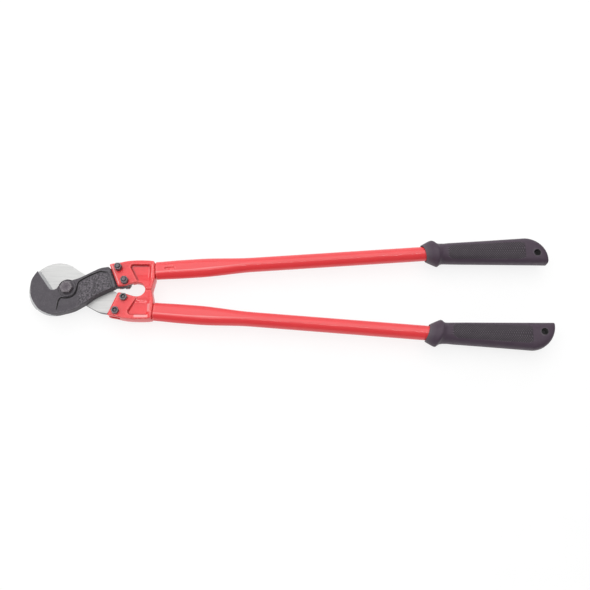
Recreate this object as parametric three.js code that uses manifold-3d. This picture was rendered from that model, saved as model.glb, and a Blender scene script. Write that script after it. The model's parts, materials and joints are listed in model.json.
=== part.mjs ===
// Long-handled hook-jaw cable cutter, closed and lying flat.
// Two identical halves share one pivot bolt. Each half is a forged hook blade, a cast fork bracket,
// a steel tube and a rubber grip. The second half is the first one turned 180 degrees about X.
// Millimetres. The origin is on the pivot axis at the rear end of the pivot bolt, on which the tool
// rests. +X runs along the closed tool to the grips, +Y to the front blade's grip, +Z to the front.

import * as THREE from 'three';
import { mergeVertices } from 'three/addons/utils/BufferGeometryUtils.js';
import Module from 'manifold-3d';

const wasm = await Module();
wasm.setup();

// Driving dimensions
const GAP = 0.3;                    // clearance between pieces that touch
const FACE_GAP = 0.15;              // half of the clearance between the two blades
const BLADE_THICK = 9;
const BOSS_RISE = 1;                // the pivot boss stands this much above the blade's face
const BOSS_R = 11.2;
const HOOK_CENTRE = [-14.6, 0];
const HOOK_R = 32;
const RIM_CHAMFER = 1.2;
const EDGE_ANGLE = THREE.MathUtils.degToRad(126.6);   // direction of the cutting edge, to its tip
const EDGE_DISTANCE = 14.9;         // from the pivot axis to the cutting edge's line
const THROAT_R = 3.9;               // throat radius in the cutting plane
const EDGE_SETBACK = 2.4;           // how far the ground bevel leans back over the blade's thickness
const TANG_HALF = 3.5;              // half of the tang's thickness; it is centred between the blades
const CHEEK_HALF = 7.8;             // half of the bracket's thickness
const SLOT_HALF = TANG_HALF + GAP;
const POCKET_DEPTH = 3;
const TUBE_START = [101, 25.2];     // centre of the bracket's end face
const TUBE_ANGLE = THREE.MathUtils.degToRad(4.26);
const TUBE_LENGTH = 432;
const TUBE_R = 8.65;
const TUBE_WALL = 2.3;
const FLAT_HALF_WIDTH = 10.3;       // the tube's flattened end, in the plane of the tool
const FLAT_HALF_THICK = 7;
const FLAT_LENGTH = 42;
const ROUND_FROM = 130;
const SPIGOT_LENGTH = 20;
const PIVOT_BOLT_R = 4;
const PIVOT_AF = 13;
const PIVOT_HEAD = 5.6;
const PIVOT_NUT = 6.5;
const PIVOT_WASHER = 1.5;
const PIVOT_WASHER_R = 8.4;
const PIVOT_SPRING_R = 7.4;
const PIVOT_SPRING = 1.8;
const PIVOT_BOLT_END = 2;
const SMALL_BOLT_R = 2.5;
const SMALL_AF = 8;
const SMALL_SPRING_R = 4.4;
const SMALL_HEAD = 4;
const SMALL_NUT = 4.5;
const SMALL_SPRING = 1.6;
const SMALL_BOLT_END = 1.2;
const BOLT_PLACES = { outer: [57.8, 26.4], inner: [66.3, 10.1] };
const GRIP_END_CENTRE = [541, 43];
const GRIP_END_R = 26;
const GRIP_BORE_END = 533;
const HANG_HOLE = [554, 48.5];
const HANG_HOLE_R = 3.7;
const HANG_LAND_HALF = 9.8;         // the flat lands round the hanging hole lie at this height
const HANG_LAND_X = 546;

// Height of the plane between the blades above the rear end of the pivot bolt
const BLADE_FACE = FACE_GAP + BLADE_THICK;
const BOSS_FACE = BLADE_FACE + BOSS_RISE;
const WASHER_TOP = -BOSS_FACE - GAP;
const SPRING_TOP = WASHER_TOP - PIVOT_WASHER - GAP;
const NUT_TOP = SPRING_TOP - PIVOT_SPRING - GAP;
const PIVOT_LOW = NUT_TOP - PIVOT_NUT - PIVOT_BOLT_END;
const CUT_PLANE = -PIVOT_LOW;

const MATERIALS = {
  blade: new THREE.MeshStandardMaterial({ color: 0x5a565c, roughness: 0.55, metalness: 0.8 }),
  bracket: new THREE.MeshStandardMaterial({ color: 0xd8383c, roughness: 0.45, metalness: 0.1 }),
  tube: new THREE.MeshStandardMaterial({ color: 0xd8383c, roughness: 0.35, metalness: 0.1 }),
  grip: new THREE.MeshStandardMaterial({ color: 0x3c363c, roughness: 0.75, metalness: 0 }),
  fastener: new THREE.MeshStandardMaterial({ color: 0x3a3a3e, roughness: 0.5, metalness: 0.8 }),
};

// ---------------------------------------------------------------- solids

function toSolid(geometry) {
  const bare = new THREE.BufferGeometry();
  bare.setAttribute('position', geometry.getAttribute('position'));
  bare.setIndex(geometry.getIndex());
  const merged = mergeVertices(bare, 1e-4);
  return new wasm.Manifold(new wasm.Mesh({
    numProp: 3,
    vertProperties: new Float32Array(merged.getAttribute('position').array),
    triVerts: new Uint32Array(merged.getIndex().array),
  }));
}

function toGeometry(solid) {
  const mesh = solid.getMesh();
  const geometry = new THREE.BufferGeometry();
  geometry.setAttribute('position', new THREE.BufferAttribute(mesh.vertProperties, 3));
  geometry.setIndex(new THREE.BufferAttribute(mesh.triVerts, 1));
  geometry.computeVertexNormals();
  return geometry;
}

// Joins rings of equally many points, each seen anticlockwise from beyond the last ring
function skinRings(rings, firstCap, lastCap) {
  const count = rings[0].length;
  const positions = rings.flat(2);
  const index = [];
  for (let r = 0; r + 1 < rings.length; r += 1) {
    for (let i = 0; i < count; i += 1) {
      const a = r * count + i;
      const b = r * count + (i + 1) % count;
      index.push(a, b, b + count, a, b + count, a + count);
    }
  }
  const last = (rings.length - 1) * count;
  firstCap.forEach(([a, b, c]) => index.push(a, c, b));
  lastCap.forEach(([a, b, c]) => index.push(last + a, last + b, last + c));
  const geometry = new THREE.BufferGeometry();
  geometry.setAttribute('position', new THREE.Float32BufferAttribute(positions, 3));
  geometry.setIndex(index);
  return geometry;
}

function capOf(outline) {
  const points = outline.map(([x, y]) => new THREE.Vector2(x, y));
  return THREE.ShapeUtils.triangulateShape(points, []);
}

// A plate whose outline may change from level to level: [[z, outline], ...], lowest first
function plate(levels) {
  const rings = levels.map(([z, outline]) => outline.map(([x, y]) => [x, y, z]));
  return toSolid(skinRings(rings, capOf(levels[0][1]), capOf(levels.at(-1)[1])));
}

function slab(outline, low, high) {
  return plate([[low, outline], [high, outline]]);
}

function cylinder(radius, low, high, [x, y] = [0, 0], sides = 32) {
  const geometry = new THREE.CylinderGeometry(radius, radius, high - low, sides);
  geometry.rotateX(Math.PI / 2);
  geometry.translate(x, y, (low + high) / 2);
  return toSolid(geometry);
}

function arc([x, y], radius, from, to, steps) {
  return Array.from({ length: steps + 1 }, (_, i) => {
    const angle = from + (to - from) * i / steps;
    return [x + radius * Math.cos(angle), y + radius * Math.sin(angle)];
  });
}

function spline(points, steps) {
  const curve = new THREE.SplineCurve(points.map(([x, y]) => new THREE.Vector2(x, y)));
  return curve.getPoints(steps).map((p) => [p.x, p.y]);
}

function hexagon(acrossFlats, [x, y] = [0, 0]) {
  return arc([x, y], acrossFlats / Math.sqrt(3), 0, Math.PI * 5 / 3, 5);
}

// ---------------------------------------------------------------- blade

const EDGE_ALONG = [Math.cos(EDGE_ANGLE), Math.sin(EDGE_ANGLE)];
const EDGE_NORMAL = [Math.sin(EDGE_ANGLE), -Math.cos(EDGE_ANGLE)];

// The throat arc is tangent to the cutting edge and to the pivot boss, whatever the bevel's setback
function throat(setback) {
  const radius = THROAT_R + setback;
  const across = THROAT_R - EDGE_DISTANCE;
  const along = Math.sqrt((BOSS_R + radius) ** 2 - across ** 2);
  const centre = [0, 1].map((k) => across * EDGE_NORMAL[k] + along * EDGE_ALONG[k]);
  return { radius, centre };
}

function hookTip(setback, hookRadius) {
  const { radius, centre } = throat(setback);
  const start = [0, 1].map((k) => centre[k] - radius * EDGE_NORMAL[k] - HOOK_CENTRE[k]);
  const half = start[0] * EDGE_ALONG[0] + start[1] * EDGE_ALONG[1];
  const run = -half + Math.sqrt(half ** 2 - start[0] ** 2 - start[1] ** 2 + hookRadius ** 2);
  return Math.atan2(start[1] + run * EDGE_ALONG[1], start[0] + run * EDGE_ALONG[0]);
}

function bladeOutline(setback, chamfer) {
  const hookRadius = HOOK_R - chamfer;
  const { radius, centre } = throat(setback);
  const bossTouch = Math.atan2(centre[1], centre[0]);
  const belly = [[-3.7, -30.1], [9, -26 + chamfer], [21.3, -18.8]];
  const armLower = [[21.3, -18.8], [32, -10.2], [43.3, -4.2], [57.3, 2.4]];
  const armUpper = [[47.2, 27.6], [36.2, 25.6], [24.9, 19.9], [13.6, 13.9], [4.2, 10.38]];
  return [
    ...arc(HOOK_CENTRE, hookRadius, hookTip(setback, hookRadius), Math.PI * 1.61, 22),
    ...spline(belly, 6).slice(1),
    ...spline(armLower, 9).slice(1),
    ...spline(armUpper, 12),
    ...arc([0, 0], BOSS_R, 1.35, bossTouch, 8),
    ...arc(centre, radius, bossTouch - Math.PI, EDGE_ANGLE - Math.PI * 1.5, 8).slice(1),
  ];
}

function tangOutline() {
  return [
    [46.8, 27.3],
    [55.6, 2.2],
    ...spline([[59.5, 3.4], [67.5, 5.4], [75.2, 7.1]], 4),
    [64.2, 30.2],
    [56, 29.6],
  ];
}

// The recessed panel on the arm, between its raised upper rim and the lower edge
function panelOutline() {
  return [
    [10.6, -8.5],
    [20, -15],
    [35, -6.5],
    [54.8, 2.9],
    [46.8, 23.6],
    [41.5, 20],
    ...spline([[36.5, 21.3], [22.9, 15], [13, 8.8]], 5),
  ];
}

function blade() {
  const bevelShare = (BLADE_THICK - RIM_CHAMFER) / BLADE_THICK;
  let solid = plate([
    [FACE_GAP, bladeOutline(0, 0)],
    [BLADE_FACE - RIM_CHAMFER, bladeOutline(EDGE_SETBACK * bevelShare, 0)],
    [BLADE_FACE, bladeOutline(EDGE_SETBACK, RIM_CHAMFER)],
  ]);
  solid = solid.add(slab(tangOutline(), -TANG_HALF, TANG_HALF));
  solid = solid.subtract(slab(panelOutline(), BLADE_FACE - 0.8, BLADE_FACE + 1));
  solid = solid.add(cylinder(BOSS_R - 0.6, BLADE_FACE - 1, BOSS_FACE, [0, 0], 48));
  solid = solid.subtract(cylinder(PIVOT_BOLT_R + GAP, -1, BOSS_FACE + 1));
  Object.values(BOLT_PLACES).forEach((place) => {
    solid = solid.subtract(cylinder(SMALL_BOLT_R + GAP, -5, 5, place, 20));
  });
  return toGeometry(solid);
}

// ---------------------------------------------------------------- lofted pieces

// A ring of rounded-box section standing across X. It is wider than tall when halfY > halfZ, and
// squareness 2 is an ellipse. xAt bends the ring along X, from outer side to inner side.
function sectionRing(sides, { y, halfY, halfZ, squareness, xAt }) {
  return Array.from({ length: sides }, (_, i) => {
    const angle = i * Math.PI * 2 / sides;
    const c = Math.cos(angle);
    const s = Math.sin(angle);
    const power = 2 / squareness;
    const across = Math.sign(c) * Math.abs(c) ** power;
    const up = Math.sign(s) * Math.abs(s) ** power;
    return [xAt(c, s), y + halfY * across, halfZ * up];
  });
}

function fanCap(count) {
  return Array.from({ length: count - 2 }, (_, i) => [0, i + 1, i + 2]);
}

function loft(rings) {
  const cap = fanCap(rings[0].length);
  return toSolid(skinRings(rings, cap, cap));
}

function alongTube(solid) {
  return solid.rotate([0, 0, THREE.MathUtils.radToDeg(TUBE_ANGLE)]).translate([...TUBE_START, 0]);
}

// Section of the tube at a distance along it, grown outwards by an offset
function tubeRing(distance, offset) {
  const round = THREE.MathUtils.smoothstep(distance, FLAT_LENGTH, ROUND_FROM);
  return sectionRing(28, {
    y: 0,
    halfY: THREE.MathUtils.lerp(FLAT_HALF_WIDTH, TUBE_R, round) + offset,
    halfZ: THREE.MathUtils.lerp(FLAT_HALF_THICK, TUBE_R, round) + offset,
    squareness: THREE.MathUtils.lerp(3, 2, round),
    xAt: () => distance,
  });
}

function tubeBody(offset, from, to) {
  const stations = [from, 30, 50, 65, 80, 95, 110, 130].filter((s) => s >= from && s < to);
  return loft([...stations, to].map((s) => tubeRing(s, offset)));
}

function tube() {
  let solid = tubeBody(0, GAP, TUBE_LENGTH);
  solid = solid.subtract(tubeBody(-TUBE_WALL, GAP - 1, TUBE_LENGTH + 1));
  const dimple = [
    ...arc([20, 0], 2.4, -Math.PI / 2, Math.PI / 2, 6),
    ...arc([13.5, 0], 2.4, Math.PI / 2, Math.PI * 1.5, 6),
  ];
  solid = solid.subtract(slab(dimple, FLAT_HALF_THICK - 1, FLAT_HALF_THICK + 2));
  return toGeometry(alongTube(solid));
}

// ---------------------------------------------------------------- bracket

function bracketOutline() {
  return [
    [47.8, 30.6],
    [59.8, 3.6],
    ...spline([[66, 4.7], [73, 6.9], [79.5, 8.5], [85.6, 7.4], [89.6, 3.6], [90.6, GAP / 2]], 14),
    [98, GAP / 2],
    [101.1, 14.3],
    [99.6, 35.3],
    ...spline([[92, 36], [80, 36.1], [68, 35.1], [58, 33]], 8),
  ];
}

function slotOutline() {
  return [[40, 0], [79.6, 0], [75.4, 7.9], [60.6, 38], [40, 38]];
}

function pocketOutline() {
  return [[72.6, 26.4], [81.4, 9.8], [96, 13.8], [95.6, 28.6], [93.6, 30.4], [75.4, 30.4]];
}

function bracket() {
  let solid = slab(bracketOutline(), -CHEEK_HALF, CHEEK_HALF);
  solid = solid.subtract(slab(slotOutline(), -SLOT_HALF, SLOT_HALF));
  const pocketFloor = CHEEK_HALF - POCKET_DEPTH;
  solid = solid.subtract(slab(pocketOutline(), pocketFloor, CHEEK_HALF + 1));
  solid = solid.subtract(slab(pocketOutline(), -CHEEK_HALF - 1, -pocketFloor));
  Object.values(BOLT_PLACES).forEach((place) => {
    solid = solid.subtract(cylinder(SMALL_BOLT_R + GAP, -CHEEK_HALF - 1, CHEEK_HALF + 1, place, 20));
  });
  solid = solid.add(alongTube(tubeBody(-TUBE_WALL - GAP, -2, SPIGOT_LENGTH)));
  return toGeometry(solid);
}

// ---------------------------------------------------------------- grip

// Stations of the grip: where the ring lies on the outer, inner and flat sides, then its size
const COLLAR = [
  { xs: [416.7, 422.6, 421], outer: 58.7, inner: 39.2, half: 9.9 },
  { xs: [427, 434.4, 434], outer: 64.6, inner: 33.7, half: 15 },
  { xs: [429.4, 436.4, 436.4], outer: 64.6, inner: 33.7, half: 15 },
  { xs: [433.4, 439.6, 440], outer: 61.8, inner: 36.5, half: 12.8 },
  { xs: [440, 444, 445], outer: 61.2, inner: 36.8, half: 12.4 },
];

function gripRing({ xs, outer, inner, half, squareness }) {
  const [xOuter, xInner, xFace] = xs;
  const middle = (xOuter + xInner) / 2;
  return sectionRing(32, {
    y: (outer + inner) / 2,
    halfY: (outer - inner) / 2,
    halfZ: half,
    squareness,
    xAt: (c, s) => middle + c * (xOuter - xInner) / 2 + s * s * (xFace - middle),
  });
}

function gripBody() {
  const [endX, endY] = GRIP_END_CENTRE;
  const stations = COLLAR.map((s) => ({ ...s, squareness: 2.2 }));
  for (const x of [460, 490, 515, endX]) {
    const share = (x - 440) / (endX - 440);
    const outer = THREE.MathUtils.lerp(61.3, endY + GRIP_END_R - 0.4, share);
    const half = THREE.MathUtils.lerp(12.4, 10.6, share);
    stations.push({ xs: [x, x, x], outer, inner: 36.5, half, squareness: 2.4 + 0.4 * share });
  }
  const cornerR = 3.5;
  for (const degrees of [20, 38, 54, 68, 79, 90]) {
    const turn = THREE.MathUtils.degToRad(degrees);
    const x = endX + GRIP_END_R * Math.sin(turn);
    const pastCorner = Math.max(0, x - (endX + GRIP_END_R - cornerR)) / cornerR;
    const inner = 36.5 + cornerR * (1 - Math.sqrt(1 - Math.min(1, pastCorner) ** 2));
    const outer = Math.max(endY + (GRIP_END_R - 0.4) * Math.cos(turn), inner + 2.5);
    const half = 10.4 - 3.4 * (1 - Math.cos(turn)) ** 2;
    stations.push({ xs: [x, x, x], outer, inner, half, squareness: 2.8 });
  }
  return loft(stations.map(gripRing));
}

function grip() {
  let solid = gripBody();
  const boreLength = (GRIP_BORE_END - TUBE_START[0]) / Math.cos(TUBE_ANGLE);
  solid = solid.subtract(alongTube(tubeBody(GAP, 200, boreLength)));
  const land = [[HANG_LAND_X, 20], [600, 20], [600, 80], [HANG_LAND_X, 80]];
  solid = solid.subtract(slab(land, HANG_LAND_HALF, 20));
  solid = solid.subtract(slab(land, -20, -HANG_LAND_HALF));
  solid = solid.subtract(cylinder(HANG_HOLE_R, -20, 20, HANG_HOLE, 24));
  return toGeometry(solid);
}

// ---------------------------------------------------------------- fasteners

function bolt(radius, acrossFlats, headLow, headHigh, endZ, place = [0, 0]) {
  const head = slab(hexagon(acrossFlats, place), headLow, headHigh);
  const middle = (headLow + headHigh) / 2;
  const shank = cylinder(radius, Math.min(middle, endZ), Math.max(middle, endZ), place, 24);
  return toGeometry(head.add(shank));
}

function nut(radius, acrossFlats, low, high, place = [0, 0]) {
  const hex = slab(hexagon(acrossFlats, place), low, high);
  return toGeometry(hex.subtract(cylinder(radius + GAP, low - 1, high + 1, place, 24)));
}

function washer(inner, outer, low, high) {
  const ring = cylinder(outer, low, high);
  return toGeometry(ring.subtract(cylinder(inner, low - 1, high + 1)));
}

// A split ring, open by a narrow slit on its inner-handle side
function springWasher(inner, outer, low, high, [x, y] = [0, 0]) {
  const slit = 0.06;
  const outline = [
    ...arc([x, y], outer, slit, Math.PI * 2 - slit, 30),
    ...arc([x, y], inner, Math.PI * 2 - slit, slit, 30),
  ];
  return toGeometry(slab(outline, low, high));
}

// ---------------------------------------------------------------- assembly

function add(group, name, geometry, material) {
  const mesh = new THREE.Mesh(geometry, MATERIALS[material]);
  mesh.name = name;
  group.add(mesh);
}

// One half of the tool, with its own blade on the front
function half(side, bladeName) {
  const group = new THREE.Group();
  add(group, bladeName, blade(), 'blade');
  add(group, `${side}_bracket`, bracket(), 'bracket');
  add(group, `${side}_tube`, tube(), 'tube');
  add(group, `${side}_grip`, grip(), 'grip');
  const headTop = -CHEEK_HALF - GAP;
  const springLow = CHEEK_HALF + GAP;
  const nutLow = springLow + SMALL_SPRING + GAP;
  const boltEnd = nutLow + SMALL_NUT + SMALL_BOLT_END;
  for (const [where, place] of Object.entries(BOLT_PLACES)) {
    const shape = bolt(SMALL_BOLT_R, SMALL_AF, headTop - SMALL_HEAD, headTop, boltEnd, place);
    add(group, `${side}_${where}_bolt`, shape, 'fastener');
    const spring = springWasher(
      SMALL_BOLT_R + GAP, SMALL_SPRING_R, springLow, springLow + SMALL_SPRING, place);
    add(group, `${side}_${where}_spring_washer`, spring, 'fastener');
    const hexNut = nut(SMALL_BOLT_R, SMALL_AF, nutLow, nutLow + SMALL_NUT, place);
    add(group, `${side}_${where}_nut`, hexNut, 'fastener');
  }
  return group;
}

function pivotSet() {
  const group = new THREE.Group();
  const headLow = BOSS_FACE + GAP;
  const shape = bolt(PIVOT_BOLT_R, PIVOT_AF, headLow, headLow + PIVOT_HEAD, PIVOT_LOW);
  add(group, 'pivot_bolt', shape, 'fastener');
  const flat = washer(PIVOT_BOLT_R + GAP, PIVOT_WASHER_R, WASHER_TOP - PIVOT_WASHER, WASHER_TOP);
  add(group, 'pivot_washer', flat, 'fastener');
  const spring = springWasher(
    PIVOT_BOLT_R + GAP, PIVOT_SPRING_R, SPRING_TOP - PIVOT_SPRING, SPRING_TOP);
  add(group, 'pivot_spring_washer', spring, 'fastener');
  const hexNut = nut(PIVOT_BOLT_R, PIVOT_AF, NUT_TOP - PIVOT_NUT, NUT_TOP);
  add(group, 'pivot_nut', hexNut, 'fastener');
  return group;
}

const cutter = new THREE.Group();
cutter.position.z = CUT_PLANE;
const lowerHalf = half('lower', 'rear_blade');
lowerHalf.rotation.x = Math.PI;
cutter.add(half('upper', 'front_blade'), lowerHalf, pivotSet());

export default cutter;
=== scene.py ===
import json
import math

import bpy
import numpy as np
from mathutils import Matrix, Vector, geometry, noise


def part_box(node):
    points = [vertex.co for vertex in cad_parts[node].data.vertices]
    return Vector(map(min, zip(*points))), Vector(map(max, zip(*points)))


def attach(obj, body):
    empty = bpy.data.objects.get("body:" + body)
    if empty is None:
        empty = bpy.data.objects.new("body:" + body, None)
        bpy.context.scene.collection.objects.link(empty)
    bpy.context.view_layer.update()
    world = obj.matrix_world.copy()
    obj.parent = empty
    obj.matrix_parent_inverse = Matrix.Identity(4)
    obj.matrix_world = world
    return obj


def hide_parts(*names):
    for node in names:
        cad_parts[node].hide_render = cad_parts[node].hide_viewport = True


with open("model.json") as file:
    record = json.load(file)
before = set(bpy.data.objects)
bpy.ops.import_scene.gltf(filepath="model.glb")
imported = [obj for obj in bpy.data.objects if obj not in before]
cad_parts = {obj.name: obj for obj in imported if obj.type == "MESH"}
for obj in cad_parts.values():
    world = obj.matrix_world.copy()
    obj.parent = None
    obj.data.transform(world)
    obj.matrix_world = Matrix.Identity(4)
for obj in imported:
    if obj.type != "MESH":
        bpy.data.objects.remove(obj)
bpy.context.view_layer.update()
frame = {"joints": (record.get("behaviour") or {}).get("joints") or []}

# ------------------------------------------------------------------ driving dimensions
# Pieces are drawn in millimetres in the half-tool's own frame: X and Y as in the CAD, and Z counted
# from the plane between the blades. The upper half lies so; the lower half is turned 180 deg about X.

MM = 0.001
CUT_PLANE = frame["joints"][0]["pos_m"][2] / MM


def node_box(node):
    """Lowest and highest corner of a CAD node, in millimetres, Z counted from the cutting plane."""
    low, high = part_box(node)
    drop = np.array([0, 0, CUT_PLANE])
    return np.array(low) / MM - drop, np.array(high) / MM - drop


BOSS_FACE = node_box("front_blade")[1][2]
CHEEK = node_box("upper_bracket")[1][2]
TUBE_R = node_box("upper_tube")[1][2]
TUBE_TO = node_box("upper_tube")[1][0]
PIVOT_TOP = node_box("pivot_bolt")[1][2]
PIVOT_LOW = node_box("pivot_bolt")[0][2]

# Clearance round the fasteners and in the slots, and of the ground face from the cutting plane
GAP = 0.3
FACE_GAP = 0.15

# Blade
BOSS_RISE = 1.0
BLADE_FACE = BOSS_FACE - BOSS_RISE
BOSS_R = 11.2
EDGE_ANGLE = math.radians(126.6)
EDGE_DISTANCE = 14.9
THROAT_R = 3.9
EDGE_SETBACK = 2.4
HOOK_X = -14.6
FORGED_ROUND = 0.9
PANEL_DEPTH = 1.3
SHOULDER_FALL = 2.4
TANG_HALF = 3.5

# Bracket
POCKET_DEPTH = 3.0
LEADING_BEVEL = 1.3

# Tube: where it starts and how it is turned, its flattened part, and the dimple pressed into that
TUBE_START = np.array([101.0, 25.2])
TUBE_ANGLE = math.radians(4.26)
TUBE_WALL = 2.3
TUBE_SIDES = 144
FLAT_HALF_WIDTH = 11.5
FLAT_HALF_THICK = 7.9
FLAT_TOP = 3.6
FLAT_LENGTH = 52.0
ROUND_FROM = 116.0
DIMPLE_AT = 16.8
DIMPLE_HALF = 4.2
DIMPLE_DEPTH = 1.5

# Grip
GRIP_FROM = 440.0
GRIP_OUTER = 61.3
GRIP_INNER = 36.5
GRIP_THICK = 12.4
GRIP_END = np.array([541.0, 43.0])
GRIP_END_R = 26.0
GRIP_END_THICK = 9.9
HANG_HOLE = np.array([554.0, 48.5])
HANG_HOLE_R = 4.1

# Fasteners: size across flats, thread radius and pitch, outer radius of the washers, and the depth
# of the dish in the small heads
PIVOT_AF = 13.0
PIVOT_R = 4.0
PIVOT_PITCH = 1.25
PIVOT_WASHER_R = 8.4
PIVOT_SPRING_R = 7.4
SMALL_AF = 8.0
SMALL_R = 2.5
SMALL_PITCH = 0.8
SMALL_SPRING_R = 4.4
SMALL_DISH = 1.3
BOLT_PLACES = {"outer": (57.8, 26.4), "inner": (66.3, 10.1)}


# ------------------------------------------------------------------ curves and distances

def arc(centre, radius, start, stop, steps):
    angles = np.linspace(start, stop, steps + 1)
    return np.stack([centre[0] + radius * np.cos(angles), centre[1] + radius * np.sin(angles)], 1)


def spline(points, steps):
    """Catmull-Rom curve through the points, evenly stepped from point to point."""
    p = np.array(points, float)
    p = np.vstack([2 * p[0] - p[1], p, 2 * p[-1] - p[-2]])
    out = []
    for where in np.linspace(0, len(p) - 3, steps + 1):
        i = min(int(where), len(p) - 4)
        t = where - i
        a, b, c, d = p[i:i + 4]
        out.append(0.5 * (2 * b + (c - a) * t + (2 * a - 5 * b + 4 * c - d) * t * t
                          + (3 * b - a - 3 * c + d) * t ** 3))
    return np.array(out)


def smooth(low, high, value):
    t = np.clip((np.asarray(value, float) - low) / (high - low), 0, 1)
    return t * t * (3 - 2 * t)


def blend_values(a, b, t):
    return a + (b - a) * t


def signed_distance(points, loop):
    """Distance from each point to a closed loop, negative inside it."""
    nearest = np.full(len(points), np.inf)
    inside = np.zeros(len(points), bool)
    for a, b in zip(loop, np.roll(loop, -1, 0)):
        d = b - a
        t = np.clip(((points - a) @ d) / max(d @ d, 1e-12), 0, 1)
        nearest = np.minimum(nearest, np.hypot(*(points - a - t[:, None] * d).T))
        if a[1] != b[1]:
            crosses = (a[1] > points[:, 1]) != (b[1] > points[:, 1])
            at = a[0] + (points[:, 1] - a[1]) * d[0] / d[1]
            inside ^= crosses & (points[:, 0] < at)
    return np.where(inside, -nearest, nearest)


def line_distance(points, a, b):
    """Distance to the left of the line from a to b."""
    d = (np.array(b, float) - a) / np.hypot(*(np.array(b, float) - a))
    return (points[:, 1] - a[1]) * d[0] - (points[:, 0] - a[0]) * d[1]


def inset(loop, amount):
    """The anticlockwise loop moved inwards, by one amount or by one for each point.

    Points that would cross over each other in a tight corner are spread along a chord instead.
    """
    amount = np.broadcast_to(amount, len(loop))
    ahead = np.roll(loop, -1, 0) - loop
    behind = loop - np.roll(loop, 1, 0)
    unit = [d / np.maximum(np.hypot(*d.T), 1e-9)[:, None] for d in (ahead, behind)]
    normal = np.stack([-(unit[0] + unit[1])[:, 1], (unit[0] + unit[1])[:, 0]], 1) / 2
    length = np.maximum((normal ** 2).sum(1), 0.45)
    moved = loop + normal / length[:, None] * amount[:, None]
    good = np.flatnonzero(-signed_distance(moved, loop) >= amount - 0.03 * np.abs(amount))
    index = np.arange(len(loop))
    return np.stack([np.interp(index, good, moved[good, k], period=len(loop)) for k in (0, 1)], 1)


def grain(points, size, seed):
    """Smooth random height between about -1 and 1 at each point, with lumps of the given size."""
    return np.array([noise.noise(Vector((x / size, y / size, seed))) for x, y in points[:, :2]])


# ------------------------------------------------------------------ mesh building

class Mesh:
    """Vertices in millimetres, faces with a material number, and named marks on vertices."""

    def __init__(self):
        self.points, self.faces, self.paint = [], [], []
        self.marks = {"painted_shade": {}, "grit": {}, "painted_highlight": {}}

    def add_points(self, points):
        first = len(self.points)
        self.points.extend(map(tuple, points))
        return list(range(first, first + len(points)))

    def add_face(self, face, paint=0):
        self.faces.append(tuple(face))
        self.paint.append(paint)

    def skin(self, rings, paint=0, closed=False):
        """Quads between rings of vertex numbers. The paint may be a number for each row and column."""
        count = len(rings[0])
        pairs = list(zip(rings, rings[1:])) + ([(rings[-1], rings[0])] if closed else [])
        paint = np.broadcast_to(paint, (len(pairs), count))
        for (a, b), row in zip(pairs, paint):
            for i in range(count):
                j = (i + 1) % count
                self.add_face((a[i], a[j], b[j], b[i]), int(row[i]))


def cap(mesh, ring, height, holes, grid, paint, up, marks=()):
    """Fills a ring with a relief surface on a fine grid, with round holes. Returns the holes' rings."""
    edge = np.array([mesh.points[i][:2] for i in ring])
    low, high = edge.min(0), edge.max(0)
    rows = np.arange(low[1], high[1], grid * 0.866)
    cells = [np.stack([np.arange(low[0] + (k % 2) * grid / 2, high[0], grid),
                       np.full(len(np.arange(low[0] + (k % 2) * grid / 2, high[0], grid)), y)], 1)
             for k, y in enumerate(rows)]
    inner = np.vstack(cells)
    inner = inner[signed_distance(inner, edge) < -0.5 * grid]
    rims = []
    for centre, radius in holes:
        inner = inner[np.hypot(*(inner - centre).T) > radius + 0.4 * grid]
        rims.append(arc(centre, radius, 0, 2 * math.pi, 48)[:-1])
    flat = np.vstack([edge, *rims, inner])
    links, start = [], 0
    for loop in (edge, *rims):
        links += [(start + i, start + (i + 1) % len(loop)) for i in range(len(loop))]
        start += len(loop)
    made = geometry.delaunay_2d_cdt([Vector(p) for p in flat], links, [], 1, 1e-6)
    source = [origin[0] for origin in made[3]]
    fresh = flat[len(edge):]
    numbers = list(ring) + mesh.add_points(np.column_stack([fresh, height(fresh)]))
    for mark, value in dict(marks).items():
        mesh.marks[mark].update(zip(numbers, value(flat)))
    for face in made[2]:
        corners = [source[i] for i in face]
        middle = flat[corners].mean(0)
        if any(np.hypot(*(middle - c)) < r for c, r in holes):
            continue
        face = [numbers[i] for i in corners]
        mesh.add_face(face if up else face[::-1], paint)
    rings, at = [], len(edge)
    for rim in rims:
        rings.append(numbers[at:at + len(rim)])
        at += len(rim)
    return rings


def relief_plate(loops, bottom, top, holes=(), grid=0.8, wall_paint=0, paints=(0, 0), marks=((), ())):
    """A plate whose wall runs through the loops, lowest first, closed by two relief caps."""
    mesh = Mesh()
    rings = [mesh.add_points(loop) for loop in loops]
    mesh.skin(rings, wall_paint)
    below = cap(mesh, rings[0], bottom, holes, grid * 1.6, paints[0], False, marks[0])
    above = cap(mesh, rings[-1], top, holes, grid, paints[1], True, marks[1])
    for low_ring, high_ring in zip(below, above):
        mesh.skin([high_ring, low_ring], paints[0])
    return mesh


def loft(rings, closed=False, paint=0, shaded_rings=()):
    """A skin over rings of points, closed by end faces or joined end to start, with painted shade on the
    listed rings.
    """
    mesh = Mesh()
    numbers = [mesh.add_points(ring) for ring in rings]
    for k in shaded_rings:
        mesh.marks["painted_shade"].update(dict.fromkeys(numbers[k], 1.0))
    mesh.skin(numbers, paint, closed)
    if not closed:
        mesh.add_face(numbers[0][::-1], paint)
        mesh.add_face(numbers[-1], paint)
    return mesh


def slab_mesh(outline, low, high, paint=0):
    """A flat slab with square edges between two heights."""
    mesh = Mesh()
    rings = [mesh.add_points([(x, y, z) for x, y in outline]) for z in (low, high)]
    mesh.skin(rings, paint)
    mesh.add_face(rings[0][::-1], paint)
    mesh.add_face(rings[1], paint)
    return mesh


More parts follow.
